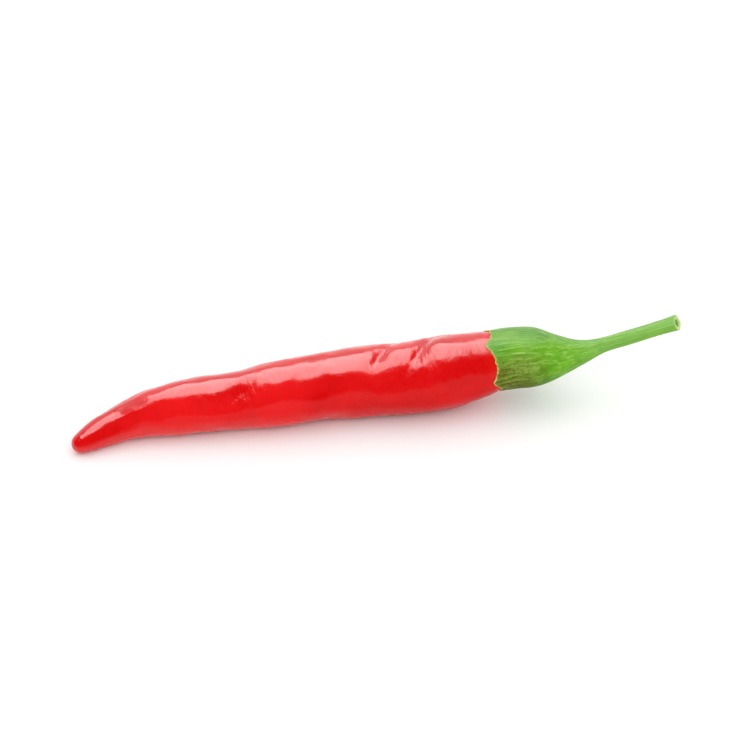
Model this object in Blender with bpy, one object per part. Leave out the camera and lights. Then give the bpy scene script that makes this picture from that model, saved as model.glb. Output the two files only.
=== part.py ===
"""A fresh red chilli pepper as it lies on a table: the pod, and the green calyx that runs on into its stem.

It stands alone: run it with blender --background --python part.py, or from Blender's text editor.
Everything is in metres. The pepper lies along X, with the tip of its pod at -X and its stem at +X.
+Z is up, and the origin is on the table, under the middle of the pepper's box.
"""

import math

import bmesh
import bpy
from mathutils import Vector, noise

MM = 0.001

# Driving dimensions. "Along" is a distance down the pepper's length from the tip of the pod.
POD_LENGTH = 88 * MM  # from the tip to the edge of the calyx
POD_RADIUS = 7.6 * MM  # where the pod is thickest
TIP_RADIUS = 2.1 * MM  # the blunt round end
SHOULDER_RADIUS = 5.5 * MM  # the pod's end, inside the calyx
SHOULDER_DEPTH = 5.5 * MM
CALYX_RADIUS = 6.35 * MM
STEM_RADIUS = 1.45 * MM
GREEN_LENGTH = 36.5 * MM  # from the edge of the calyx to the cut end of the stem

# The pod's outline, as shares of its length and of its greatest radius.
POD_OUTLINE = (
    (0.050, 0.370),
    (0.110, 0.480),
    (0.200, 0.655),
    (0.300, 0.760),
    (0.390, 0.785),
    (0.480, 0.885),
    (0.640, 0.940),
    (0.770, 0.990),
    (0.860, 1.020),
    (0.930, 0.950),
    (0.975, 0.875),
    (1.000, 0.800),
)
TIP_ARC_END = math.radians(72)  # where the tip's round end runs into the outline
SHOULDER_START = POD_LENGTH + 4 * MM

# The green part's outline: shares of its length, and of the calyx's or the stem's radius.
CALYX_OUTLINE = ((0.00, 1.055), (0.05, 1.01), (0.13, 0.99), (0.19, 0.975), (0.245, 0.905))
NECK_OUTLINE = ((0.305, 3.38), (0.385, 2.52), (0.465, 1.73), (0.580, 1.01))
STEM_OUTLINE = ((0.720, 0.95), (0.930, 0.97), (1.000, 1.06))

# How far the axis wanders sideways: the whole pepper is bowed one way, with its tip hooked round most.
AXIS_SIDEWAYS = (
    (0, 0),
    (7 * MM, 2.7 * MM),
    (14 * MM, 4.0 * MM),
    (25 * MM, 3.3 * MM),
    (38 * MM, 1.9 * MM),
    (52 * MM, 1.2 * MM),
    (62 * MM, 0.2 * MM),
    (74 * MM, -2.0 * MM),
    (83 * MM, -2.8 * MM),
    (91 * MM, -3.5 * MM),
    (99 * MM, -5.9 * MM),
    (108 * MM, -8.1 * MM),
    (125 * MM, -10.6 * MM),
)
BELLY_END = 0.80 * POD_LENGTH  # the pod lies on the table as far as this
BELLY_SINK = 0.38 * MM  # how much the skin gives where it rests

# How far the axis of the green part rises above the resting pod's: share of its length, height.
GREEN_RISE = (
    (0.00, 2.4 * MM),
    (0.15, 2.9 * MM),
    (0.30, 3.3 * MM),
    (0.45, 4.3 * MM),
    (0.60, 6.2 * MM),
    (1.00, 10.3 * MM),
)

# Shallow hollows in the skin: along, degrees round from the top, half length, half width in degrees, depth.
# A short wide one is a crease that runs round the pod, and a long one is a soft dent.
HOLLOWS = (
    (73.0 * MM, 8, 1.7 * MM, 46, 0.45 * MM),
    (64.5 * MM, 4, 1.9 * MM, 38, 0.38 * MM),
    (80.5 * MM, 70, 4.0 * MM, 30, 0.25 * MM),
    (53.0 * MM, 128, 3.6 * MM, 24, 0.35 * MM),
    (47.5 * MM, 28, 1.7 * MM, 16, 0.22 * MM),
    (34.5 * MM, 42, 3.2 * MM, 22, 0.42 * MM),
    (25.0 * MM, 62, 3.0 * MM, 22, 0.22 * MM),
    (67.0 * MM, -85, 5.0 * MM, 30, 0.42 * MM),
    (43.0 * MM, -60, 4.5 * MM, 28, 0.34 * MM),
    (56.0 * MM, -125, 1.8 * MM, 34, 0.34 * MM),
    (29.0 * MM, -105, 4.0 * MM, 30, 0.26 * MM),
)
HOLLOW_SLANT = 4.5 * MM  # the creases run round like a screw, so far back along the pod in each radian
LUMP_HEIGHT = 0.34 * MM
LUMP_LENGTH = 9 * MM
LUMPS_ROUND = 1.1  # the noise's reach across the pod, in lump lengths
LUMP_FADE = 3 * MM  # the lumps fade out over this length before the calyx

SEPALS = 5
SEPAL_TURN = math.radians(24)  # the first sepal's tooth, measured from the top
TOOTH_LENGTH = 1.3 * MM
TOOTH_SHARPNESS = 3
RIM_SLANT = 1.0 * MM  # how much further the rim reaches down the pod on the side that faces RIM_TURN
RIM_TURN = math.radians(55)
CUT_SLANT = 0.5  # how steeply the cut at the stem's end leans, as a rise over a run
CUT_TURN = math.radians(60)  # the side that the cut faces
RIB_SHARE = 0.035  # the height of the ribs, as a share of the radius
WALL = 0.35 * MM  # the calyx is no thinner than this
SKIN_GAP = 0.3 * MM  # between the pod and the calyx's inner face

SIDES = 30
POD_STEPS = 40
SHOULDER_STEPS = 6
TIP_STEPS = 5
GREEN_STEPS = 27


def clear_scene():
    for thing in list(bpy.data.objects):
        bpy.data.objects.remove(thing)


def make_material(name, colour, roughness):
    material = bpy.data.materials.new(name)
    material.use_nodes = True
    shader = material.node_tree.nodes["Principled BSDF"]
    shader.inputs["Base Color"].default_value = (*colour, 1)
    shader.inputs["Roughness"].default_value = roughness
    shader.inputs["Metallic"].default_value = 0
    return material


def smooth(stations, place):
    """The height at one place of a smooth curve that passes through every (place, height) station."""
    last = len(stations) - 1
    k = 0
    while k < last - 1 and place > stations[k + 1][0]:
        k += 1

    def slope(i):
        before, after = stations[max(i - 1, 0)], stations[min(i + 1, last)]
        return (after[1] - before[1]) / (after[0] - before[0])

    (start, low), (end, high) = stations[k], stations[k + 1]
    span = end - start
    t = (place - start) / span
    bend = t * (1 - t) * ((1 - t) * (slope(k) * span - high + low) - t * (slope(k + 1) * span - high + low))
    return low + t * (high - low) + bend


def tip_point(turn):
    """(along, radius) on the tip's round end, turn radians away from its pole."""
    return TIP_RADIUS * (1 - math.cos(turn)), TIP_RADIUS * math.sin(turn)


def shoulder_point(turn, gap=0.0):
    """(along, radius) on the domed shoulder, from its edge at turn 0 to its pole at a quarter turn."""
    along = SHOULDER_START + (SHOULDER_DEPTH + gap) * math.sin(turn)
    return along, (SHOULDER_RADIUS + gap) * math.cos(turn)


POD_STATIONS = (
    tip_point(TIP_ARC_END),
    *((share * POD_LENGTH, size * POD_RADIUS) for share, size in POD_OUTLINE),
    shoulder_point(0),
)
GREEN_STATIONS = (
    *((share * GREEN_LENGTH, size * CALYX_RADIUS) for share, size in CALYX_OUTLINE),
    *((share * GREEN_LENGTH, size * STEM_RADIUS) for share, size in NECK_OUTLINE + STEM_OUTLINE),
)


def pod_radius(along):
    """The pod's mean radius between its round tip and its shoulder."""
    return smooth(POD_STATIONS, along)


def axis_heights():
    """Where the pod rests, its axis is one radius above the table. From there the green part's axis rises."""
    belly = [
        (share * POD_LENGTH, size * POD_RADIUS - BELLY_SINK)
        for share, size in POD_OUTLINE
        if share * POD_LENGTH <= BELLY_END
    ]
    level = belly[-1][1]
    green = [(POD_LENGTH + share * GREEN_LENGTH, level + rise) for share, rise in GREEN_RISE]
    return [(0, TIP_RADIUS - BELLY_SINK / 2), *belly, *green]


AXIS_HEIGHTS = axis_heights()


def axis_point(along):
    return Vector((along, smooth(AXIS_SIDEWAYS, along), smooth(AXIS_HEIGHTS, along)))


def surface_point(along, angle, radius):
    """A point beside the axis. The angle is 0 at the top, and a positive one turns towards -Y."""
    step = 0.5 * MM
    forward = (axis_point(along + step) - axis_point(along - step)).normalized()
    up = (Vector((0, 0, 1)) - forward * forward.z).normalized()
    side = forward.cross(up)
    return axis_point(along) + (up * math.cos(angle) + side * math.sin(angle)) * radius


def angle_between(a, b):
    return math.remainder(a - b, math.tau)


def skin_relief(along, angle):
    """How far the pod's skin stands out from its mean radius: soft lumps, less the hollows."""
    place = Vector((along / LUMP_LENGTH, LUMPS_ROUND * math.cos(angle), LUMPS_ROUND * math.sin(angle)))
    relief = LUMP_HEIGHT * noise.noise(place)
    for centre, degrees, half_length, half_width, depth in HOLLOWS:
        turn = angle_between(angle, math.radians(degrees))
        off = (along - centre + HOLLOW_SLANT * turn) / half_length
        relief -= depth * math.exp(-(off**2) - (turn / math.radians(half_width)) ** 2)
    fade = min(1, max(0, (POD_LENGTH - along) / LUMP_FADE))
    slimness = min(1, pod_radius(max(along, POD_STATIONS[0][0])) / POD_RADIUS)
    return relief * fade * slimness


def sepal_wave(angle):
    """1 on the middle line of each sepal, and 0 halfway between two."""
    return (1 + math.cos(SEPALS * (angle - SEPAL_TURN))) / 2


def rim_along(angle):
    slant = RIM_SLANT * math.cos(angle - RIM_TURN)
    return POD_LENGTH - slant - TOOTH_LENGTH * sepal_wave(angle) ** TOOTH_SHARPNESS


def cup_radius(along, angle):
    """The calyx's inner face, which follows the pod at a small gap, over the shoulder as well."""
    if along < SHOULDER_START:
        return pod_radius(along) + skin_relief(along, angle) + SKIN_GAP
    depth = min(1, (along - SHOULDER_START) / (SHOULDER_DEPTH + SKIN_GAP))
    return (SHOULDER_RADIUS + SKIN_GAP) * math.sqrt(1 - depth**2)


def green_radius(from_rim, along, angle):
    """The outside of the calyx and stem. Its ribs run from the teeth to the cut end."""
    rib = 1 + RIB_SHARE * (2 * sepal_wave(angle) - 1)
    return max(smooth(GREEN_STATIONS, from_rim) * rib, cup_radius(along, angle) + WALL)


def angles():
    """One angle for each side, with a flat side and not a corner underneath."""
    return [math.tau * (k + 0.5) / SIDES for k in range(SIDES)]


def pod_rings():
    rings = []
    for k in range(1, TIP_STEPS + 1):
        along, radius = tip_point(TIP_ARC_END * k / (TIP_STEPS + 1))
        rings.append([surface_point(along, a, radius) for a in angles()])
    start, end = POD_STATIONS[0][0], SHOULDER_START
    for k in range(POD_STEPS + 1):
        along = start + (end - start) * k / POD_STEPS
        rings.append([surface_point(along, a, pod_radius(along) + skin_relief(along, a)) for a in angles()])
    for k in range(1, SHOULDER_STEPS):
        along, radius = shoulder_point(math.pi / 2 * k / SHOULDER_STEPS)
        rings.append([surface_point(along, a, radius) for a in angles()])
    return rings


def cup_rings():
    """The calyx's inner face, from its deepest ring out to the toothed rim."""
    rings = []
    for k in range(SHOULDER_STEPS - 1, -1, -1):
        along, radius = shoulder_point(math.pi / 2 * k / SHOULDER_STEPS, SKIN_GAP)
        rings.append([surface_point(along, a, radius) for a in angles()])
    for share in (0.5, 1.0):
        ring = []
        for angle in angles():
            along = SHOULDER_START + share * (rim_along(angle) - SHOULDER_START)
            ring.append(surface_point(along, angle, cup_radius(along, angle)))
        rings.append(ring)
    return rings


def slant_cut(ring):
    """The last ring, leaned over so that the stem's cut end faces CUT_TURN. It stays in one plane."""
    end = POD_LENGTH + GREEN_LENGTH
    facing = (surface_point(end, CUT_TURN, MM) - axis_point(end)).normalized()
    above = (surface_point(end, CUT_TURN + math.pi / 2, MM) - axis_point(end)).normalized()
    forward = facing.cross(above)
    return [point - forward * CUT_SLANT * facing.dot(point - axis_point(end)) for point in ring]


def green_rings():
    """The outside, from the rim over the calyx to the cut end. The teeth are drawn out of the first rings."""
    rings = []
    for k in range(GREEN_STEPS + 1):
        from_rim = GREEN_LENGTH * k / GREEN_STEPS
        ring = []
        for angle in angles():
            tooth = (POD_LENGTH - rim_along(angle)) * max(0, 1 - from_rim / (4 * TOOTH_LENGTH))
            along = POD_LENGTH + from_rim - tooth
            ring.append(surface_point(along, angle, green_radius(from_rim, along, angle)))
        rings.append(ring)
    return rings[:-1] + [slant_cut(rings[-1])]


def loft(name, rings, material, first_pole=None, last_pole=None):
    """A closed skin over the rings. An end runs in to its pole, or is a flat face where it has none."""
    mesh = bpy.data.meshes.new(name)
    skin = bmesh.new()
    loops = [[skin.verts.new(point) for point in ring] for ring in rings]
    for loop, following in zip(loops, loops[1:]):
        for k in range(SIDES):
            nearby = (k + 1) % SIDES
            skin.faces.new((loop[k], loop[nearby], following[nearby], following[k]))
    for loop, pole in ((loops[0], first_pole), (loops[-1], last_pole)):
        if pole is None:
            skin.faces.new(loop)
            continue
        centre = skin.verts.new(pole)
        for k in range(SIDES):
            skin.faces.new((centre, loop[k], loop[(k + 1) % SIDES]))
    bmesh.ops.recalc_face_normals(skin, faces=skin.faces)
    skin.to_mesh(mesh)
    skin.free()
    mesh.materials.append(material)
    mesh.shade_smooth()
    mesh.set_sharp_from_angle(angle=math.radians(50))
    thing = bpy.data.objects.new(name, mesh)
    bpy.context.scene.collection.objects.link(thing)
    return thing


def make_pod():
    """The whole red fruit, solid, with its shoulder hidden in the calyx."""
    red = make_material("glossy_red_skin", (0.72, 0.004, 0.008), 0.25)
    tip = axis_point(0)
    shoulder = axis_point(shoulder_point(math.pi / 2)[0])
    pod = loft("pod", pod_rings(), red, tip, shoulder)
    for vertex in pod.data.vertices:
        vertex.co.z = max(vertex.co.z, 0)  # the belly is flat where it rests on the table
    return pod


def make_calyx_and_stem():
    """The five-toothed cup that grips the shoulder, and the ribbed stem, which grow as one piece."""
    green = make_material("green_calyx", (0.16, 0.36, 0.05), 0.5)
    cup_floor = axis_point(shoulder_point(math.pi / 2, SKIN_GAP)[0])
    return loft("calyx_and_stem", cup_rings() + green_rings(), green, first_pole=cup_floor)


def place_on_origin(pieces):
    """Hangs the pieces on one empty, moved so that the origin is under the middle of their common box."""
    corners = [vertex.co for piece in pieces for vertex in piece.data.vertices]
    middle_x = (min(c.x for c in corners) + max(c.x for c in corners)) / 2
    middle_y = (min(c.y for c in corners) + max(c.y for c in corners)) / 2
    pepper = bpy.data.objects.new("chilli_pepper", None)
    bpy.context.scene.collection.objects.link(pepper)
    pepper.location = (-middle_x, -middle_y, 0)
    for piece in pieces:
        piece.parent = pepper


clear_scene()
place_on_origin([make_pod(), make_calyx_and_stem()])
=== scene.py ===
# %% [markdown]
# # A fresh red chilli pepper
#
# The pepper lies on its side on a white table. The frame holds two plain solids, the pod and the green part with
# the stem, at their real size. This lesson gives each of them a finer skin in the same place, then its colours,
# its gloss, the light and the camera. Lengths are in metres, so a millimetre is named once and used everywhere.

# %% Load the frame
import math

import bpy
import numpy as np
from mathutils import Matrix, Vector, noise
from mathutils.bvhtree import BVHTree


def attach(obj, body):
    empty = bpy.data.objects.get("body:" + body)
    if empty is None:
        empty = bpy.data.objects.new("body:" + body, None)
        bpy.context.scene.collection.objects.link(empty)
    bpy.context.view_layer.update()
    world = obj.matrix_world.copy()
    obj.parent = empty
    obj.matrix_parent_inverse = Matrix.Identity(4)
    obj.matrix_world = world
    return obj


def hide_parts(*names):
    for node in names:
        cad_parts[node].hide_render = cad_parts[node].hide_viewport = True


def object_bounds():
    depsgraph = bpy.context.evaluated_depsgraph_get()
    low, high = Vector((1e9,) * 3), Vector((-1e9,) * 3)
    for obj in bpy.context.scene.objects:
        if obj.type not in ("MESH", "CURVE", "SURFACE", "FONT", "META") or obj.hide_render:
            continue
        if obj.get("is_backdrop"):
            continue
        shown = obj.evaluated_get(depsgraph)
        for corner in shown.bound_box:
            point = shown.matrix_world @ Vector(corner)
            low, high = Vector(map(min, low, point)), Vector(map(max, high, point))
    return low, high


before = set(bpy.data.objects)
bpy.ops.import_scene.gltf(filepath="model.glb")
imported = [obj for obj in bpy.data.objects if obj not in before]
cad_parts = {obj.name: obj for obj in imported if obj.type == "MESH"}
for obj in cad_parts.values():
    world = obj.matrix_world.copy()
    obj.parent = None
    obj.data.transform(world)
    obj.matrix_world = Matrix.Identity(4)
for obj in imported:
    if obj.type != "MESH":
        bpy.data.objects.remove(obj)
MM = 0.001
cad_low, cad_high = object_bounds()
cad_middle = (cad_low + cad_high) / 2
print("the solids' box, mm:", [round(side / MM, 1) for side in cad_high - cad_low])

# %% [markdown]
# ## The measures
#
# A pepper has no straight line and no flat side, but a few numbers hold its shape: where its axis runs, and how
# thick it is at some places along it. They could be drawn as curves by hand, but as numbers they can be read,
# compared with the solids and changed. "Along" is a distance down the pepper's length from the tip of the pod.

# %% Measures of the pod and of its axis
POD_LENGTH = 88 * MM  # from the tip to the edge of the calyx
POD_RADIUS = 7.6 * MM  # where the pod is thickest
TIP_RADIUS = 2.1 * MM  # the blunt round end
TIP_ARC_END = math.radians(72)  # where the tip's round end runs into the outline
SHOULDER_RADIUS = 5.5 * MM  # the pod's end, inside the calyx
SHOULDER_DEPTH = 5.5 * MM
SHOULDER_START = POD_LENGTH + 4 * MM
GREEN_LENGTH = 36.5 * MM  # from the edge of the calyx to the cut end of the stem

# The pod's outline, as shares of its length and of its greatest radius.
POD_OUTLINE = (
    (0.050, 0.370),
    (0.110, 0.480),
    (0.200, 0.655),
    (0.300, 0.760),
    (0.390, 0.785),
    (0.480, 0.885),
    (0.640, 0.940),
    (0.770, 0.990),
    (0.860, 1.020),
    (0.930, 0.950),
    (0.975, 0.875),
    (1.000, 0.800),
)

# How far the axis wanders sideways, in millimetres: the pepper is bowed one way, with its tip hooked round most.
AXIS_SIDEWAYS_MM = (
    (0, 0),
    (7, 2.7),
    (14, 4.0),
    (25, 3.3),
    (38, 1.9),
    (52, 1.2),
    (62, 0.2),
    (74, -2.0),
    (83, -2.8),
    (91, -3.5),
    (99, -5.9),
    (108, -8.1),
    (125, -10.6),
)
BELLY_END = 0.80 * POD_LENGTH  # the pod lies on the table as far as this
BELLY_SINK = 0.38 * MM  # how much the skin gives where it rests

# How far the axis of the green part rises above the resting pod's: share of its length, millimetres.
GREEN_RISE_MM = ((0.00, 2.4), (0.15, 2.9), (0.30, 3.3), (0.45, 4.3), (0.60, 6.2), (1.00, 10.3))
print("pod", round(POD_LENGTH / MM), "mm, green part", round(GREEN_LENGTH / MM, 1), "mm")

# %% [markdown]
# ## A smooth line through a few stations
#
# Straight runs between the stations would leave corners, and light shows every corner on a glossy skin. So the
# line between two stations is a cubic that leaves each one with the slope its neighbours give it. Blender's own
# curves could do this too. A small function is easier to reuse here, because the axis, the pod's outline and the
# calyx's outline all need it, for many thousand places at once.


# %% The smooth line
def smooth(stations, place):
    """The height, at one place or at an array of them, of a curve through every (place, height) station."""
    x, y = np.array(stations, float).T
    before = np.maximum(np.arange(len(x)) - 1, 0)
    after = np.minimum(np.arange(len(x)) + 1, len(x) - 1)
    slope = (y[after] - y[before]) / (x[after] - x[before])
    k = np.clip(np.searchsorted(x, place) - 1, 0, len(x) - 2)
    span, rise = x[k + 1] - x[k], y[k + 1] - y[k]
    t = (place - x[k]) / span
    bend = (1 - t) * (slope[k] * span - rise) - t * (slope[k + 1] * span - rise)
    return y[k] + t * rise + t * (1 - t) * bend


# %% [markdown]
# ## The axis
#
# Where the pod rests, its axis is one radius above the table, less the little that the skin gives. From the end of
# the belly the axis climbs into the calyx and the stem. A point of the skin is then three numbers: how far along,
# how far round and how far out. The angle is 0 at the top, and a positive one turns towards -Y.

# %% The axis, and a point beside it
belly = [
    (share * POD_LENGTH, size * POD_RADIUS - BELLY_SINK)
    for share, size in POD_OUTLINE
    if share * POD_LENGTH <= BELLY_END
]
AXIS_HEIGHTS = [
    (0, TIP_RADIUS - BELLY_SINK / 2),
    *belly,
    *((POD_LENGTH + share * GREEN_LENGTH, belly[-1][1] + rise * MM) for share, rise in GREEN_RISE_MM),
]
AXIS_SIDEWAYS = [(along * MM, sideways * MM) for along, sideways in AXIS_SIDEWAYS_MM]


def axis_point(along):
    return np.stack([along, smooth(AXIS_SIDEWAYS, along), smooth(AXIS_HEIGHTS, along)], -1)


def unit(vectors):
    return vectors / np.linalg.norm(vectors, axis=-1, keepdims=True)


def skin_point(along, turn, radius):
    """Points beside the axis, from arrays of how far along, round and out they are."""
    step = 0.5 * MM
    forward = unit(axis_point(along + step) - axis_point(along - step))
    up = unit(np.array((0, 0, 1)) - forward * forward[..., 2:])
    side = np.cross(forward, up)
    out = up * np.cos(turn)[..., None] + side * np.sin(turn)[..., None]
    return axis_point(along) + out * radius[..., None]


# %% [markdown]
# ## The pod's relief
#
# A pepper's skin is full but not even. It has soft lumps, a few creases that run partly round it where growth was
# held back, and shallow dents. The large ones are the same as the solid's, so both agree. The finer ones are only
# here: low knuckles, and the fine cross wrinkles that gather at the creases and close to the calyx. They are real
# geometry and not only bump, because their outline shows in the long soft highlight.

# %% Lumps, creases and dents
# Along in mm, degrees round from the top, half length in mm, half width in degrees, depth in mm.
HOLLOWS = (
    (73.0, 8, 1.7, 46, 0.45),
    (64.5, 4, 1.9, 38, 0.38),
    (80.5, 70, 4.0, 30, 0.25),
    (53.0, 128, 3.6, 24, 0.35),
    (47.5, 28, 1.7, 16, 0.22),
    (34.5, 42, 3.2, 22, 0.42),
    (25.0, 62, 3.0, 22, 0.22),
    (67.0, -85, 5.0, 30, 0.42),
    (43.0, -60, 4.5, 28, 0.34),
    (56.0, -125, 1.8, 34, 0.34),
    (29.0, -105, 4.0, 30, 0.26),
)
HOLLOW_SLANT = 4.5  # mm that a crease runs back along the pod in each radian round it
LUMP_HEIGHT = 0.34 * MM
LUMP_LENGTH = 9 * MM
LUMPS_ROUND = 1.1
LUMP_FADE = 3 * MM


def lumps(along, turn, length, round_reach):
    """Smooth noise over the skin, between about -1 and 1. It joins up all the way round."""
    place = np.stack([along / length, round_reach * np.cos(turn), round_reach * np.sin(turn)], -1)
    heights = [noise.noise(p) for p in place.reshape(-1, 3).tolist()]
    return np.array(heights).reshape(along.shape)


def pod_radius(along):
    stations = [(TIP_RADIUS * (1 - math.cos(TIP_ARC_END)), TIP_RADIUS * math.sin(TIP_ARC_END))]
    stations += [(share * POD_LENGTH, size * POD_RADIUS) for share, size in POD_OUTLINE]
    stations += [(SHOULDER_START, SHOULDER_RADIUS)]
    return smooth(stations, np.maximum(along, stations[0][0]))


def skin_relief(along, turn):
    """How far the skin stands out from its mean radius: soft lumps, less the hollows."""
    relief = LUMP_HEIGHT * lumps(along, turn, LUMP_LENGTH, LUMPS_ROUND)
    for centre, degrees, half_length, half_width, depth in HOLLOWS:
        round_by = (turn - math.radians(degrees) + math.pi) % math.tau - math.pi
        off = (along / MM - centre + HOLLOW_SLANT * round_by) / half_length
        relief -= depth * MM * np.exp(-(off**2) - (round_by / math.radians(half_width)) ** 2)
    fade = np.clip((POD_LENGTH - along) / LUMP_FADE, 0, 1)
    return relief * fade * np.minimum(1, pod_radius(along) / POD_RADIUS)


# %% [markdown]
# The fine relief is gathered where the real skin has been pinched: round the creases and near the calyx. A share
# from 0 to 1 says how wrinkled each place is, and the shader uses the same share later for its finest grain.

# %% The fine relief
FINE_END = 2.4 * MM  # no fine relief this near the end of the pod, where the thin calyx clings to it
KNUCKLE_HEIGHT = 0.11 * MM
WRINKLE_HEIGHT = 0.10 * MM
# Steeper folds in the creases and hollows: along in mm, degrees, half length, half width, depth, slant.
FOLDS = (
    (73.2, 4, 1.35, 24, 0.58, 2.6),
    (71.6, 22, 0.60, 13, 0.16, 4.5),
    (64.8, 2, 1.25, 23, 0.50, 2.6),
    (63.2, 18, 0.70, 11, 0.14, 3.5),
    (51.5, 21, 0.45, 9, 0.14, 3.0),
    (49.9, 26, 0.40, 8, 0.12, 4.0),
    (33.5, 52, 2.8, 25, 0.62, 0.8),
    (28.6, 56, 2.6, 22, 0.30, 1.5),
    (19.5, 52, 2.6, 20, 0.12, 1.5),
    (84.0, 30, 1.6, 22, 0.14, 2.0),
    (79.0, 24, 0.7, 10, 0.07, 3.0),
)
FOLD_WARP = 0.55  # how far, in half lengths, noise pushes a fold out of line
TIP_FADE = 6 * MM  # the fine relief grows over this length from the tip
CALYX_FADE = 4 * MM  # and dies away over this length before FINE_END


def wrinkled(along, turn):
    """How much fine wrinkling a place has, from 0 to 1."""
    share = 0.18 + 0.45 * np.clip((along - 40 * MM) / (45 * MM), 0, 1)
    for centre, degrees, half_length, half_width, depth in HOLLOWS:
        round_by = (turn - math.radians(degrees) + math.pi) % math.tau - math.pi
        off = (along / MM - centre + HOLLOW_SLANT * round_by) / (1.6 * half_length)
        share = share + depth * np.exp(-(off**2) - (round_by / math.radians(1.5 * half_width)) ** 2)
    return np.clip(share, 0, 1)


def folds(along, turn):
    """The narrow folds, as a depth below the skin."""
    depth_here = np.zeros_like(along)
    warp = FOLD_WARP * lumps(along, turn, 1.6 * MM, 3.0)
    for centre, degrees, half_length, half_width, depth, slant in FOLDS:
        round_by = (turn - math.radians(degrees) + math.pi) % math.tau - math.pi
        off = (along / MM - centre + slant * round_by) / half_length + warp
        depth_here += depth * MM * np.exp(-(off**2) - (round_by / math.radians(half_width)) ** 2)
    return depth_here


def fine_relief(along, turn):
    knuckles = KNUCKLE_HEIGHT * lumps(along, turn, 3.4 * MM, 2.6)
    wrinkles = WRINKLE_HEIGHT * wrinkled(along, turn) * lumps(along, turn, 1.1 * MM, 3.6)
    from_tip = np.clip(along / TIP_FADE, 0.2, 1)
    to_calyx = np.clip((POD_LENGTH - FINE_END - along) / CALYX_FADE, 0, 1)
    fade = from_tip * to_calyx
    return (knuckles + wrinkles - folds(along, turn)) * fade


# %% [markdown]
# ## From a grid of points to a skin
#
# Both skins are lofts: rows of points, each row one ring round the axis. Modelling by extruding rings in Edit Mode
# gives the same mesh. In code it is a grid, so the faces follow from the row and column numbers. Each point also
# keeps its "unrolled place", in millimetres: how far along it is, and where it would be on a straight round rod.
# Patterns read that place, so a vein or a wrinkle follows the bend of the pepper and never meets a seam.

# %% The skin builder
SIDES = 200


def ring_angles(sides=SIDES):
    return math.tau * (np.arange(sides) + 0.5) / sides


def quads_of(rows, sides):
    """The four corners of every face between two neighbouring rings, as point numbers."""
    row, column = np.meshgrid(np.arange(rows - 1), np.arange(sides), indexing="ij")
    following = (column + 1) % sides
    this_ring, next_ring = row * sides, (row + 1) * sides
    corners = (this_ring + column, this_ring + following, next_ring + following, next_ring + column)
    return np.stack(corners, -1).reshape(-1, 4).tolist()


def make_skin(name, points, unrolled, first_pole, last_pole):
    """A closed smooth mesh over a grid of points, drawn in to a pole at each end."""
    rows, sides, _ = points.shape
    first, last = rows * sides, rows * sides + 1
    top_row = (rows - 1) * sides
    faces = quads_of(rows, sides)
    faces += [(first, (k + 1) % sides, k) for k in range(sides)]
    faces += [(last, top_row + k, top_row + (k + 1) % sides) for k in range(sides)]
    mesh = bpy.data.meshes.new(name)
    mesh.from_pydata([*points.reshape(-1, 3).tolist(), first_pole, last_pole], [], faces)
    mesh.shade_smooth()
    place = mesh.attributes.new("unrolled_place", "FLOAT_VECTOR", "POINT")
    ends = np.stack([unrolled[0].mean(0), unrolled[-1].mean(0)])
    place.data.foreach_set("vector", np.concatenate([unrolled.reshape(-1, 3), ends]).ravel())
    piece = bpy.data.objects.new(name, mesh)
    bpy.context.scene.collection.objects.link(piece)
    print(name, len(mesh.polygons), "faces")
    return piece


def unroll(along, turn, radius):
    return np.stack([along, radius * np.cos(turn), radius * np.sin(turn)], -1) / MM


# %% [markdown]
# ## The pod
#
# The pod's rows follow its whole length: the blunt round tip, the long body and the shoulder that the calyx hides.
# The rows are closest at the tip, where the skin turns most. The belly is pressed flat at the height of the table.

# %% Model the pod's skin
TIP_ROWS = 26
BODY_ROWS = 350
SHOULDER_ROWS = 14


def pod_rows():
    """(along, mean radius) of each row."""
    tip = TIP_ARC_END * np.linspace(0.02, 1, TIP_ROWS, endpoint=False)
    body = np.linspace(TIP_RADIUS * (1 - math.cos(TIP_ARC_END)), SHOULDER_START, BODY_ROWS)
    shoulder = math.pi / 2 * np.linspace(0, 0.98, SHOULDER_ROWS)[1:]
    along = np.concatenate([
        TIP_RADIUS * (1 - np.cos(tip)),
        body,
        SHOULDER_START + SHOULDER_DEPTH * np.sin(shoulder),
    ])
    radius = np.concatenate([
        TIP_RADIUS * np.sin(tip),
        pod_radius(body),
        SHOULDER_RADIUS * np.cos(shoulder),
    ])
    return along, radius


along, radius = pod_rows()
along, turn = np.meshgrid(along, ring_angles(), indexing="ij")
radius = np.repeat(radius[:, None], SIDES, 1)
on_body = (along >= TIP_RADIUS * (1 - math.cos(TIP_ARC_END))) & (along <= SHOULDER_START)
relief = skin_relief(along, turn) + fine_relief(along, turn)
points = skin_point(along, turn, radius + np.where(on_body, relief, 0))
points[..., 2] = np.maximum(points[..., 2], 0)
tip_pole = axis_point(np.array(0.0))
shoulder_pole = axis_point(np.array(SHOULDER_START + SHOULDER_DEPTH))
pod_skin = make_skin("pod_skin", points, unroll(along, turn, radius), tip_pole, shoulder_pole)

# %% [markdown]
# A second number on each point says how wrinkled it is. The red finish reads it to lay its finest grain where the
# skin is pinched, and to leave the full parts of the pod smooth.

# %% Note the wrinkled places
share = wrinkled(along, turn).ravel()
wrinkle_share = pod_skin.data.attributes.new("wrinkled", "FLOAT", "POINT")
wrinkle_share.data.foreach_set("value", np.append(share, (0, 0)))
print("wrinkled share, least and most:", round(share.min(), 2), round(share.max(), 2))

# %% [markdown]
# ## The calyx and the stem
#
# The green cup is what is left of the flower: five sepals grown together, each ending in a small tooth, with a rib
# that runs from the tooth into the stem. The cup, its ribs and the stem have no seam between them, so they are one
# skin. It starts deep inside the cup, comes out to the thin rim, turns over it and runs to the cut end of the stem.

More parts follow.
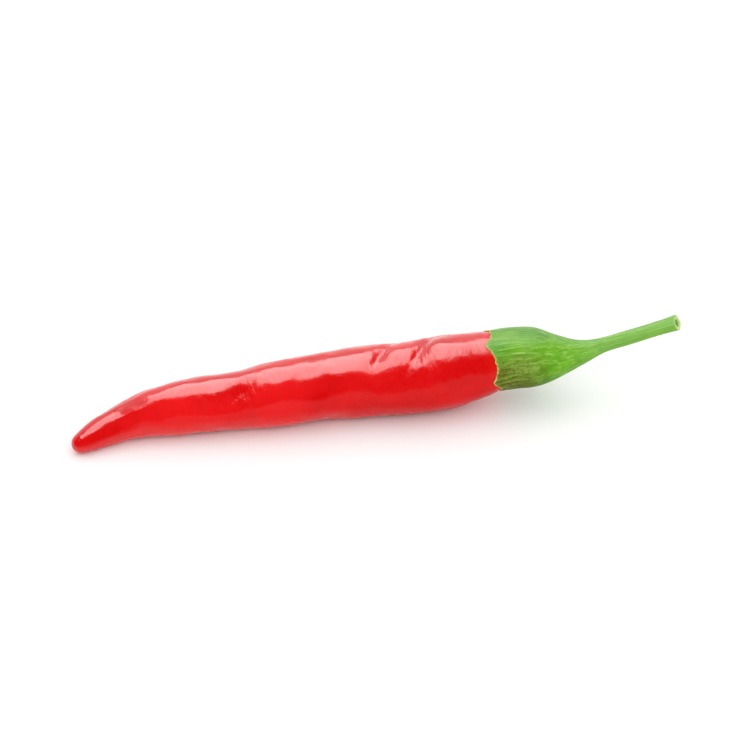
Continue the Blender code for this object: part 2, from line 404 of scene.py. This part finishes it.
# %% Measures of the green part
CALYX_RADIUS = 6.35 * MM
STEM_RADIUS = 1.45 * MM
SEPALS = 5
SEPAL_TURN = math.radians(24)  # the first sepal's tooth, measured from the top
TOOTH_LENGTH = 1.3 * MM
TOOTH_SHARPNESS = 3
RIM_SLANT = 1.0 * MM  # how much further the rim reaches down the pod on the side that faces RIM_TURN
RIM_TURN = math.radians(55)
CUT_SLANT = 0.5  # how steeply the stem's cut end leans, as a rise over a run
CUT_TURN = math.radians(60)  # the side that the cut faces
CUT_REACH = 6 * MM  # the rows this close to the end lean with it
RIB_SHARE = 0.035
RIM_GAP = 0.05 * MM  # between the pod and the inside of the cup
RIM_WALL = 0.26 * MM
RIM_ROLL = 2.4 * MM  # over this length the thin rim swells to the cup's full thickness
LEAST_SWELL = 0.12 * MM  # the cup is at least this much thicker than its rim
STEM_START = 14 * MM  # from the rim to where the cup's veins begin to turn into the stem's ridges
STEM_BLEND = 8 * MM

# Shares of the green part's length, and of the calyx's or the stem's radius.
CALYX_OUTLINE = ((0.00, 1.055), (0.05, 1.01), (0.13, 0.99), (0.19, 0.975), (0.245, 0.905))
NECK_OUTLINE = ((0.305, 3.38), (0.385, 2.52), (0.465, 1.73), (0.580, 1.01))
STEM_OUTLINE = ((0.720, 0.95), (0.930, 0.97), (1.000, 1.06))
GREEN_STATIONS = [
    *((share * GREEN_LENGTH, size * CALYX_RADIUS) for share, size in CALYX_OUTLINE),
    *((share * GREEN_LENGTH, size * STEM_RADIUS) for share, size in NECK_OUTLINE + STEM_OUTLINE),
]
print("stem", round(2 * STEM_RADIUS / MM, 1), "mm thick")

# %% [markdown]
# The teeth come from a wave round the cup, raised to a power so that each is a narrow point on a nearly level rim.
# Noise then frays the rim a little: a dry leaf edge is never even. The veins are noise too, stretched along the
# cup until it turns into long fine ridges, and they fade into the broader ridges of the stem.


# %% Rim, ribs and veins
def sepal_wave(turn):
    """1 on the middle line of each sepal, and 0 halfway between two."""
    return (1 + np.cos(SEPALS * (turn - SEPAL_TURN))) / 2


def rim_along(turn):
    slant = RIM_SLANT * np.cos(turn - RIM_TURN)
    teeth = TOOTH_LENGTH * sepal_wave(turn) ** TOOTH_SHARPNESS
    still = np.zeros_like(turn)
    frayed = 0.30 * MM * lumps(still, turn, MM, 5.0) + 0.16 * MM * lumps(still + 7 * MM, turn, MM, 14.0)
    return POD_LENGTH - slant - teeth + frayed


def cup_radius(along, turn):
    """The cup's inner face, which clings to the pod and closes over its shoulder."""
    depth = np.clip((along - SHOULDER_START) / (SHOULDER_DEPTH + RIM_GAP), 0, 1)
    dome = (SHOULDER_RADIUS + RIM_GAP) * np.sqrt(1 - depth**2)
    body = pod_radius(np.minimum(along, SHOULDER_START)) + skin_relief(along, turn) + RIM_GAP
    return np.where(along < SHOULDER_START, body, dome)


def veins(from_rim, turn):
    """Long fine ridges on the cup, and coarser ones on the stem."""
    on_stem = np.clip((from_rim - STEM_START) / STEM_BLEND, 0, 1)
    broad = lumps(from_rim, turn, 16 * MM, 4.5) + 0.5 * lumps(from_rim, turn, 22 * MM, 2.2)
    fine = lumps(from_rim + 40 * MM, turn, 9 * MM, 11.0)
    ridge = lumps(from_rim + 90 * MM, turn, 30 * MM, 2.4)
    return MM * ((1 - on_stem) * (0.16 * broad + 0.07 * fine) + on_stem * (0.24 * ridge + 0.13 * fine))


# %% [markdown]
# The cut end is not a clean disc. The soft pith in the middle dries and sinks, and the tougher outside stands up
# as a low ring, so the last rows turn in over the edge and down into a shallow dish.

# %% Model the green skin
CUP_ROWS = 16
RIM_ROWS = 40
OUTER_ROWS = 170
END_ROWS = 14
END_ROUND = 0.12 * MM
END_DISH = 0.35 * MM


def cup_inside(turn):
    """(along, radius) of the rows inside the cup, from the deepest out to the rim."""
    depth = np.sin(math.pi / 2 * np.linspace(0.98, 0, CUP_ROWS))
    over_dome = (SHOULDER_START + (SHOULDER_DEPTH + RIM_GAP) * depth)[:, None] + 0 * turn
    outwards = np.linspace(0, 1, CUP_ROWS)[1:, None]
    to_rim = SHOULDER_START + outwards * (rim_along(turn) - SHOULDER_START)
    along = np.concatenate([over_dome, to_rim])
    return along, cup_radius(along, turn + 0 * along)


def green_outside(turn):
    """(along, radius, from the rim) of the rows from the rim over the cup to the end of the stem."""
    near_rim = np.linspace(0, RIM_ROLL, RIM_ROWS, endpoint=False)
    beyond = np.linspace(RIM_ROLL, GREEN_LENGTH - END_ROUND, OUTER_ROWS)
    from_rim = np.concatenate([near_rim, beyond])[:, None] + 0 * turn
    turn = turn + 0 * from_rim
    pulled = (POD_LENGTH - rim_along(turn[0])) * np.maximum(0, 1 - from_rim / (4 * TOOTH_LENGTH))
    along = POD_LENGTH + from_rim - pulled
    rib = 1 + RIB_SHARE * (2 * sepal_wave(turn) ** 1.5 - 0.8)
    full = smooth(GREEN_STATIONS, from_rim) * rib + veins(from_rim, turn)
    thin = cup_radius(along, turn) + RIM_WALL
    grown = np.clip(from_rim / RIM_ROLL, 0, 1) ** 0.8
    swollen = thin + grown * np.maximum(full - thin, LEAST_SWELL)
    radius = np.where(along < SHOULDER_START, swollen, full)
    edge = np.sqrt(np.clip(from_rim / (0.5 * RIM_WALL), 0, 1))
    return along, radius - RIM_WALL * 0.5 * (1 - edge), from_rim


def stem_end(turn, last_radius):
    """(along, radius) of the rows that turn over the stem's edge and down into the dished cut."""
    over = np.linspace(0, math.pi / 2, 5)[1:]
    inwards = np.linspace(1, 0.04, END_ROWS)[1:]
    edge_radius = last_radius - END_ROUND
    rounded = np.stack([edge_radius + END_ROUND * math.cos(a) for a in over])
    across = np.stack([edge_radius * share for share in inwards])
    base = POD_LENGTH + GREEN_LENGTH - END_ROUND
    rounded_along = np.stack([base + END_ROUND * math.sin(a) + 0 * turn for a in over])
    dish = [base + END_ROUND - END_DISH * (1 - share**2) ** 2 + 0 * turn for share in inwards]
    return np.concatenate([rounded_along, np.stack(dish)]), np.concatenate([rounded, across])


def leaned(points, along, turn, radius):
    """The points near the stem's end, moved along the stem so that the cut leans towards CUT_TURN."""
    share = np.clip(1 - (POD_LENGTH + GREEN_LENGTH - along) / CUT_REACH, 0, 1) ** 2
    end = np.array(POD_LENGTH + GREEN_LENGTH)
    forward = unit(axis_point(end + 0.5 * MM) - axis_point(end - 0.5 * MM))
    lean = CUT_SLANT * radius * np.cos(turn - CUT_TURN) * share
    return points - forward * lean[..., None]


turn = ring_angles()
inner_along, inner_radius = cup_inside(turn)
outer_along, outer_radius, from_rim = green_outside(turn)
end_along, end_radius = stem_end(turn, outer_radius[-1])
along = np.concatenate([inner_along, outer_along, end_along])
radius = np.concatenate([inner_radius, outer_radius, end_radius])
all_turns = turn + 0 * along
points = leaned(skin_point(along, all_turns, radius), along, all_turns, radius)
cup_floor = axis_point(np.array(SHOULDER_START + SHOULDER_DEPTH + RIM_GAP))
end_middle = axis_point(along[-1, 0])
green_skin = make_skin(
    "calyx_and_stem_skin", points, unroll(along, all_turns, radius), cup_floor, end_middle
)

# %% [markdown]
# The green finish changes from the rim to the stem and again on the cut, so each point also keeps two numbers: how
# far it is from the rim, in millimetres, and how far in from the edge of the cut, from 0 to 1.

# %% Note the rim and the cut
inside_rim = (rim_along(turn) - inner_along) / MM  # negative inside the cup
on_the_cut = GREEN_LENGTH / MM + 0 * end_along
beyond_rim = np.concatenate([inside_rim.ravel(), (from_rim / MM).ravel(), on_the_cut.ravel()])
rim_distance = green_skin.data.attributes.new("from_rim", "FLOAT", "POINT")
rim_distance.data.foreach_set("value", np.append(beyond_rim, (inside_rim.min(), GREEN_LENGTH / MM)))
cut_share = np.zeros(along.shape)
cut_share[-len(end_along):] = 1 - end_radius / outer_radius[-1]
cut = green_skin.data.attributes.new("on_cut", "FLOAT", "POINT")
cut.data.foreach_set("value", np.append(cut_share, (0, 1)))
print("rows:", len(inner_along), "inside,", len(outer_along), "outside,", len(end_along), "on the cut")

# %% [markdown]
# ## Put the skins on the frame
#
# The grids start at the tip. The solids have their origin under the middle of their box, so both skins move by the
# same amount, and a search for the nearest point on the solids shows how well they agree. Each skin then stands
# for its solid and rides on the same body.

# %% Place, compare and hand over
pepper_points = [v.co for piece in (pod_skin, green_skin) for v in piece.data.vertices]
low = Vector([min(p[i] for p in pepper_points) for i in range(3)])
high = Vector([max(p[i] for p in pepper_points) for i in range(3)])
shift = Vector((cad_middle.x - (low.x + high.x) / 2, cad_middle.y - (low.y + high.y) / 2, 0))


def farthest_from(node, piece):
    """The greatest distance from a sample of the piece's points to the solid's surface."""
    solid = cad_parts[node].data
    tree = BVHTree.FromPolygons([v.co for v in solid.vertices], [p.vertices for p in solid.polygons])
    return max(tree.find_nearest(v.co)[3] for v in list(piece.data.vertices)[::17])


for piece, node, slot in ((pod_skin, "pod", "red_skin"), (green_skin, "calyx_and_stem", "green_calyx")):
    for vertex in piece.data.vertices:
        vertex.co += shift
    print(node, "differs from its solid by at most", round(farthest_from(node, piece) / MM, 2), "mm")
    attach(piece, "root")
    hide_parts(node)

# %% [markdown]
# ## Shader helpers
#
# A material is a small net of nodes. Placing each one by hand in the editor is the same work as here: add a node,
# set some inputs and draw lines to the others. One helper does all three, so a finish reads as a list of steps.


# %% A helper that places a node
def put(tree, kind, inputs=(), **settings):
    """Adds a node. An input that is given a socket is linked to it, and any other value is set."""
    node = tree.nodes.new("ShaderNode" + kind)
    for name, value in settings.items():
        setattr(node, name, value)
    for name, value in dict(inputs).items():
        if isinstance(value, bpy.types.NodeSocket):
            tree.links.new(value, node.inputs[name])
        else:
            node.inputs[name].default_value = value
    return node


def mix_colours(tree, share, first, second):
    """A colour between two, where the share is 0 for the first and 1 for the second."""
    blend = put(tree, "Mix", data_type="RGBA")
    sockets = {"Factor": blend.inputs[0], "A": blend.inputs[6], "B": blend.inputs[7]}
    for name, value in (("Factor", share), ("A", first), ("B", second)):
        if isinstance(value, bpy.types.NodeSocket):
            tree.links.new(value, sockets[name])
        else:
            sockets[name].default_value = value
    return blend.outputs[2]


def between(tree, value, low, high, to_low=0.0, to_high=1.0):
    """A value taken smoothly from one range to another, and held at the ends."""
    inputs = {"Value": value, "From Min": low, "From Max": high, "To Min": to_low, "To Max": to_high}
    return put(tree, "MapRange", inputs, interpolation_type="SMOOTHSTEP").outputs[0]


def times(tree, first, second):
    return put(tree, "Math", {0: first, 1: second}, operation="MULTIPLY").outputs[0]


def plus(tree, first, second):
    return put(tree, "Math", {0: first, 1: second}, operation="ADD").outputs[0]


def new_group(name, inputs, outputs):
    """An empty node group with named sockets. Each input is (name, kind, value)."""
    group = bpy.data.node_groups.new(name, "ShaderNodeTree")
    for title, kind, value in inputs:
        group.interface.new_socket(title, in_out="INPUT", socket_type=kind).default_value = value
    for title in outputs:
        group.interface.new_socket(title, in_out="OUTPUT", socket_type="NodeSocketFloat")
    return group, group.nodes.new("NodeGroupInput")


# %% [markdown]
# ## Two effects that both finishes use
#
# Both skins have a fine grain that runs one way: cross wrinkles on the red skin, veins on the green one. It is noise
# that is stretched by scaling the place it reads. A node group is built once and takes its sizes as inputs, so both
# finishes can use it.

# %% Group: stretched grain
FLOAT, VECTOR = "NodeSocketFloat", "NodeSocketVector"


def make_stretched_grain():
    """Noise that is drawn out: Along and Round are how many grains there are in a millimetre each way."""
    inputs = (
        ("Place", VECTOR, (0, 0, 0)),
        ("Along", FLOAT, 1.0),
        ("Round", FLOAT, 1.0),
        ("Detail", FLOAT, 3.0),
    )
    group, given = new_group("stretched_grain", inputs, ("Height",))
    source = given.outputs
    grains = put(group, "CombineXYZ", {0: source["Along"], 1: source["Round"], 2: source["Round"]})
    place = put(group, "VectorMath", {0: source["Place"], 1: grains.outputs[0]}, operation="MULTIPLY")
    fields = {"Vector": place.outputs[0], "Scale": 1.0, "Detail": source["Detail"], "Roughness": 0.55}
    grain = put(group, "TexNoise", fields)
    end = group.nodes.new("NodeGroupOutput")
    group.links.new(grain.outputs["Fac"], end.inputs["Height"])
    return group


stretched_grain = make_stretched_grain()

# %% [markdown]
# No fruit is one even colour: sun, shade and age leave it lighter in some places than in others. So the second group
# turns a slow noise into soft patches, by asking how far it is above a chosen level.


# %% Group: patches
def make_patches():
    """Soft patches. Size is in millimetres, and Edge is how sharply a patch ends."""
    inputs = (
        ("Place", VECTOR, (0, 0, 0)),
        ("Size", FLOAT, 8.0),
        ("Share", FLOAT, 0.5),
        ("Edge", FLOAT, 0.2),
    )
    group, given = new_group("patches", inputs, ("Mask",))
    per_mm = put(group, "Math", {0: 1.0, 1: given.outputs["Size"]}, operation="DIVIDE").outputs[0]
    cloud = put(group, "TexNoise", {"Vector": given.outputs["Place"], "Scale": per_mm, "Detail": 2.0})
    level = put(group, "Math", {0: 1.0, 1: given.outputs["Share"]}, operation="SUBTRACT").outputs[0]
    low = put(group, "Math", {0: level, 1: given.outputs["Edge"]}, operation="SUBTRACT").outputs[0]
    high = plus(group, level, given.outputs["Edge"])
    end = group.nodes.new("NodeGroupOutput")
    group.links.new(between(group, cloud.outputs["Fac"], low, high), end.inputs["Mask"])
    return group


patches = make_patches()


def use_group(tree, group, **inputs):
    """Places a group in a material with its own values, and gives its first output."""
    node = put(tree, "Group", node_tree=group)
    for name, value in inputs.items():
        socket = node.inputs[name]
        if isinstance(value, bpy.types.NodeSocket):
            tree.links.new(value, socket)
        else:
            socket.default_value = value
    return node.outputs[0]


def start_material(name):
    """A material with its net, its shader, the unrolled place and that place's three parts."""
    material = bpy.data.materials.new(name)
    material.use_nodes = True
    tree = material.node_tree
    place = put(tree, "Attribute", attribute_name="unrolled_place").outputs["Vector"]
    parts = put(tree, "SeparateXYZ", {0: place}).outputs
    return material, tree, tree.nodes["Principled BSDF"], place, parts


# %% [markdown]
# ## The red skin
#
# Ripe pepper skin is a deep pure red with a thin clear wax over it. The red is not one colour: it drifts between a
# fuller and a brighter red in slow patches, and is paler in the ring next to the calyx where the cup shaded it.
# The gloss comes in two layers: the skin itself, a little rough with fine cross wrinkles, and the wax on top,
# which is smoother. The light goes a little way into the flesh, so a touch of subsurface keeps it from looking
# painted.


# %% Finish: glossy red skin
SMOOTHEST_RED, ROUGHEST_RED = 0.12, 0.20
RED_GRAIN_DEPTH = 0.15 * MM


def make_red_skin():
    material, tree, shader, place, parts = start_material("glossy_red_skin")
    wrinkled_share = put(tree, "Attribute", attribute_name="wrinkled").outputs["Fac"]
    slow = use_group(tree, patches, Place=place, Size=13.0, Share=0.5, Edge=0.22)
    small = use_group(tree, patches, Place=place, Size=2.6, Share=0.36, Edge=0.16)
    red = mix_colours(tree, slow, (0.60, 0.0, 0.0006, 1), (0.74, 0.0, 0.0010, 1))
    red = mix_colours(tree, times(tree, small, 0.30), red, (0.52, 0.0, 0.0006, 1))
    by_calyx = times(tree, between(tree, parts[0], 84.5, 88.5), 0.30)
    red = mix_colours(tree, by_calyx, red, (0.80, 0.030, 0.008, 1))
    scar = between(tree, parts[0], 0.10, 0.02)
    red = mix_colours(tree, scar, red, (0.20, 0.045, 0.012, 1))
    tree.links.new(red, shader.inputs["Base Color"])

    across = use_group(tree, stretched_grain, Place=place, Along=1.9, Round=0.55, Detail=4.0)
    grain = use_group(tree, stretched_grain, Place=place, Along=3.0, Round=2.2, Detail=3.0)
    gathered = plus(tree, times(tree, wrinkled_share, 1.1), 0.30)
    height = plus(tree, times(tree, across, gathered), times(tree, grain, times(tree, gathered, 0.45)))
    bump = put(tree, "Bump", {"Height": height, "Distance": RED_GRAIN_DEPTH, "Strength": 1.0})
    tree.links.new(bump.outputs[0], shader.inputs["Normal"])
    uneven = plus(tree, times(tree, grain, 0.7), times(tree, slow, 0.3))
    roughness = between(tree, uneven, 0.25, 0.75, SMOOTHEST_RED, ROUGHEST_RED)
    tree.links.new(roughness, shader.inputs["Roughness"])
    shader.inputs["IOR"].default_value = 1.46
    shader.inputs["Coat Weight"].default_value = 0.45
    shader.inputs["Coat Roughness"].default_value = 0.07
    shader.inputs["Coat IOR"].default_value = 1.42
    shader.inputs["Subsurface Weight"].default_value = 0.10
    shader.inputs["Subsurface Radius"].default_value = (1.0, 0.08, 0.05)
    shader.inputs["Subsurface Scale"].default_value = 1.2 * MM
    return material


pod_skin.data.materials.append(make_red_skin())

# %% [markdown]
# ## The green calyx and stem
#
# The stem and the back of the cup are a fresh, slightly waxy green. Towards the rim the cup dries: olive and brown
# gather between its veins, and the very edge is a thin pale line. The olive and brown are partly painted shade too,
# laid mostly on the lower half of the cup. The cut end shows a pale ring round a greener middle. Each of these is a
# mask made from the noted distances.


# %% Finish: green calyx and stem
FRESH_GREEN, DRIED_GREEN = 0.30, 0.50  # roughness
VEIN_DEPTH = 0.22 * MM


def make_green():
    material, tree, shader, place, parts = start_material("green_calyx_and_stem")
    from_rim = put(tree, "Attribute", attribute_name="from_rim").outputs["Fac"]
    on_cut = put(tree, "Attribute", attribute_name="on_cut").outputs["Fac"]
    vein = use_group(tree, stretched_grain, Place=place, Along=0.12, Round=1.5, Detail=4.0)
    thread = use_group(tree, stretched_grain, Place=place, Along=0.30, Round=4.5, Detail=2.0)
    cloud = use_group(tree, patches, Place=place, Size=4.5, Share=0.5, Edge=0.25)
    speck = use_group(tree, patches, Place=place, Size=0.7, Share=0.46, Edge=0.12)

    green = mix_colours(tree, cloud, (0.060, 0.27, 0.0, 1), (0.150, 0.42, 0.010, 1))
    green = mix_colours(tree, times(tree, between(tree, vein, 0.46, 0.66), 0.55), green, (0.34, 0.56, 0.09, 1))
    on_stem = between(tree, from_rim, 13.0, 22.0)
    green = mix_colours(tree, times(tree, on_stem, 0.70), green, (0.22, 0.47, 0.080, 1))

    # Painted shade: the dried olive and brown are weighted onto the lower half of the cup, the side turned from the
    # light.
    lower_side = between(tree, parts[1], 5.2, 1.2)
    near_rim = between(tree, from_rim, 12.5, 5.0)
    dried_and_shaded = times(tree, near_rim, plus(tree, times(tree, lower_side, 0.90), 0.06))
    between_veins = between(tree, vein, 0.62, 0.36)
    olive_and_shade = times(tree, dried_and_shaded, plus(tree, times(tree, between_veins, 0.55), 0.45))
    green = mix_colours(tree, olive_and_shade, green, (0.140, 0.115, 0.0, 1))
    brown = times(tree, times(tree, dried_and_shaded, speck), between(tree, thread, 0.38, 0.60))
    green = mix_colours(tree, times(tree, brown, 0.85), green, (0.050, 0.036, 0.004, 1))

    frayed = times(tree, thread, 0.9)
    pale_edge = between(tree, plus(tree, from_rim, frayed), 0.85, 0.45)
    green = mix_colours(tree, pale_edge, green, (0.66, 0.42, 0.13, 1))
    ring = between(tree, on_cut, 0.0, 0.10)
    pith = between(tree, on_cut, 0.34, 0.60)
    green = mix_colours(tree, ring, green, (0.50, 0.66, 0.22, 1))
    green = mix_colours(tree, pith, green, (0.13, 0.30, 0.05, 1))
    tree.links.new(green, shader.inputs["Base Color"])

    height = plus(tree, times(tree, vein, 1.0), times(tree, thread, 0.6))
    bump = put(tree, "Bump", {"Height": height, "Distance": VEIN_DEPTH, "Strength": 1.0})
    tree.links.new(bump.outputs[0], shader.inputs["Normal"])
    roughness = between(tree, dried_and_shaded, 0.0, 0.8, FRESH_GREEN, DRIED_GREEN)
    tree.links.new(roughness, shader.inputs["Roughness"])
    shader.inputs["IOR"].default_value = 1.36
    shader.inputs["Subsurface Weight"].default_value = 0.08
    shader.inputs["Subsurface Radius"].default_value = (0.5, 1.0, 0.2)
    shader.inputs["Subsurface Scale"].default_value = 0.8 * MM
    return material


green_skin.data.materials.append(make_green())

# %% [markdown]
# ## The table
#
# A broad sheet of white card. It is matte, with a faint unevenness, and wide enough that its edge is never in view.
# A full mirror image of bright card washes the deep red out, and on a laden table the neighbours would shade it.
# So in front of the pepper the card is painted darker where the wax mirrors it, as painted shade in the reflection,
# and it stays white to look at.

# %% Floor
def make_white_card():
    material = bpy.data.materials.new("white_card")
    material.use_nodes = True
    tree = material.node_tree
    shader = tree.nodes["Principled BSDF"]
    coordinates = put(tree, "TexCoord").outputs["Object"]
    cloud = put(tree, "TexNoise", {"Vector": coordinates, "Scale": 9.0, "Detail": 2.0}).outputs["Fac"]
    white = mix_colours(tree, cloud, (0.965, 0.965, 0.965, 1), (0.98, 0.98, 0.98, 1))
    # Painted shade in the mirror image: glossy rays see the card dark grey in front of the pepper.
    sideways = put(tree, "SeparateXYZ", {0: coordinates}).outputs[1]
    in_front = between(tree, sideways, 2 * MM, -12 * MM)
    mirrored = put(tree, "LightPath").outputs["Is Glossy Ray"]
    card = mix_colours(tree, times(tree, in_front, mirrored), white, (0.30, 0.27, 0.27, 1))
    tree.links.new(card, shader.inputs["Base Color"])
    shader.inputs["Roughness"].default_value = 0.9
    shader.inputs["Specular IOR Level"].default_value = 0.1
    return material


FLOOR_HALF = 3.0
FLOOR_HEIGHT = -0.02 * MM  # just under the pepper, so that no two faces share a place
floor_mesh = bpy.data.meshes.new("floor")
corners = [
    (x * FLOOR_HALF, y * FLOOR_HALF, FLOOR_HEIGHT) for x, y in ((-1, -1), (1, -1), (1, 1), (-1, 1))
]
floor_mesh.from_pydata(corners, [], [(0, 1, 2, 3)])
floor_mesh.materials.append(make_white_card())
floor = bpy.data.objects.new("floor", floor_mesh)
bpy.context.scene.collection.objects.link(floor)
floor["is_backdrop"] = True

# %% [markdown]
# ## The light
#
# One large softbox hangs over the pepper and a little behind it. Its reflection is the long pale band along the
# top of the pod. Real softboxes do two jobs at once: they are mirrored in the wax, and they light the colour under
# it. Here two lamps in the same place do one job each, so the brightness of the band can be set without bleaching
# the red. A wide weak fill in front lightens the shadow, and isn't mirrored. The surroundings are white all round
# for spread light, but for mirrored light they are white only behind, which keeps the front a deep clean red.

# %% Softbox, fill and surroundings
def aim(thing, at):
    thing.rotation_mode = "QUATERNION"
    thing.rotation_quaternion = (Vector(at) - thing.location).to_track_quat("-Z", "Y")


def add_softbox(name, size, lean, distance, brightness, sideways=0.0):
    """A rectangular lamp over the pepper. Lean is in degrees from the vertical, away from the camera's side."""
    lamp = bpy.data.lights.new(name, "AREA")
    lamp.shape = "RECTANGLE"
    lamp.size, lamp.size_y = size
    lamp.energy = brightness * math.pi * size[0] * size[1]
    softbox = bpy.data.objects.new(name, lamp)
    bpy.context.scene.collection.objects.link(softbox)
    tilt = math.radians(lean)
    softbox.location = (sideways, distance * math.sin(tilt), distance * math.cos(tilt))
    aim(softbox, (0, 0, 0))
    print(name, "at", [round(c, 2) for c in softbox.location], "m")
    return softbox


OVERHEAD = {"size": (0.72, 0.86), "lean": 15, "distance": 0.70, "sideways": 0.05}
BAND_BRIGHTNESS, OVERHEAD_BRIGHTNESS, FILL_BRIGHTNESS = 5.8, 1.5, 0.6

mirrored = add_softbox("overhead_softbox", brightness=BAND_BRIGHTNESS, **OVERHEAD)
mirrored.visible_diffuse = False
overhead = add_softbox("overhead_glow", brightness=OVERHEAD_BRIGHTNESS, **OVERHEAD)
overhead.visible_glossy = False
fill = add_softbox("front_fill", (1.6, 1.0), lean=-50, distance=1.3, brightness=FILL_BRIGHTNESS)
fill.visible_glossy = False


SPREAD_BRIGHTNESS = 1.05  # a little over white, so that the table is as bright as the background


def make_surroundings():
    """Plain white to look at and as spread light. As a mirror image it is white only behind."""
    world = bpy.data.worlds.new("studio_walls")
    world.use_nodes = True
    tree = world.node_tree
    direction = put(tree, "TexCoord").outputs["Generated"]
    parts = put(tree, "SeparateXYZ", {0: direction})
    mirrored = between(tree, parts.outputs[1], 0.05, 0.85, 0.0, 1.0)
    paths = put(tree, "LightPath")
    spread_or_mirrored = {0: paths.outputs["Is Diffuse Ray"], 2: mirrored, 3: SPREAD_BRIGHTNESS}
    unseen = put(tree, "Mix", spread_or_mirrored).outputs[0]
    brightness = put(tree, "Mix", {0: paths.outputs["Is Camera Ray"], 2: unseen, 3: 1.0}).outputs[0]
    tree.links.new(brightness, tree.nodes["Background"].inputs["Strength"])
    tree.nodes["Background"].inputs["Color"].default_value = (1, 1, 1, 1)
    bpy.context.scene.world = world


make_surroundings()
bpy.context.scene.view_settings.view_transform = "Standard"
bpy.context.scene.view_settings.look = "None"

# %% [markdown]
# ## The camera
#
# The camera looks down on the pepper from in front and a little from the side of its tip, through a long lens, so
# the near end isn't swollen. Its distance is worked out so that the pepper fills most of the picture's width.

# %% Camera
CAMERA_AZIMUTH = math.radians(-15)
CAMERA_ELEVATION = math.radians(35)
LENS = 135
FILL = 0.82  # the share of the picture's width that the pepper takes

camera_data = bpy.data.cameras.new("camera")
camera_data.lens = LENS
camera = bpy.data.objects.new("camera", camera_data)
bpy.context.scene.collection.objects.link(camera)
back = Vector((
    math.sin(CAMERA_AZIMUTH) * math.cos(CAMERA_ELEVATION),
    -math.cos(CAMERA_AZIMUTH) * math.cos(CAMERA_ELEVATION),
    math.sin(CAMERA_ELEVATION),
))
half_width = (cad_high.x - cad_low.x) / 2 / FILL
distance = half_width * LENS / (camera_data.sensor_width / 2)
camera.location = cad_middle + back * distance
aim(camera, cad_middle)
bpy.context.scene.camera = camera
print("camera", round(distance, 2), "m away")

# %% [markdown]
# ## Finish
#
# The skins should stay inside the solids, so both boxes are printed and can be compared after each render.

# %% Write the sizes and finish
low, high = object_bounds()
print("grown by, mm:", [round((a - b) / MM, 2) for a, b in zip(high - low, cad_high - cad_low)])
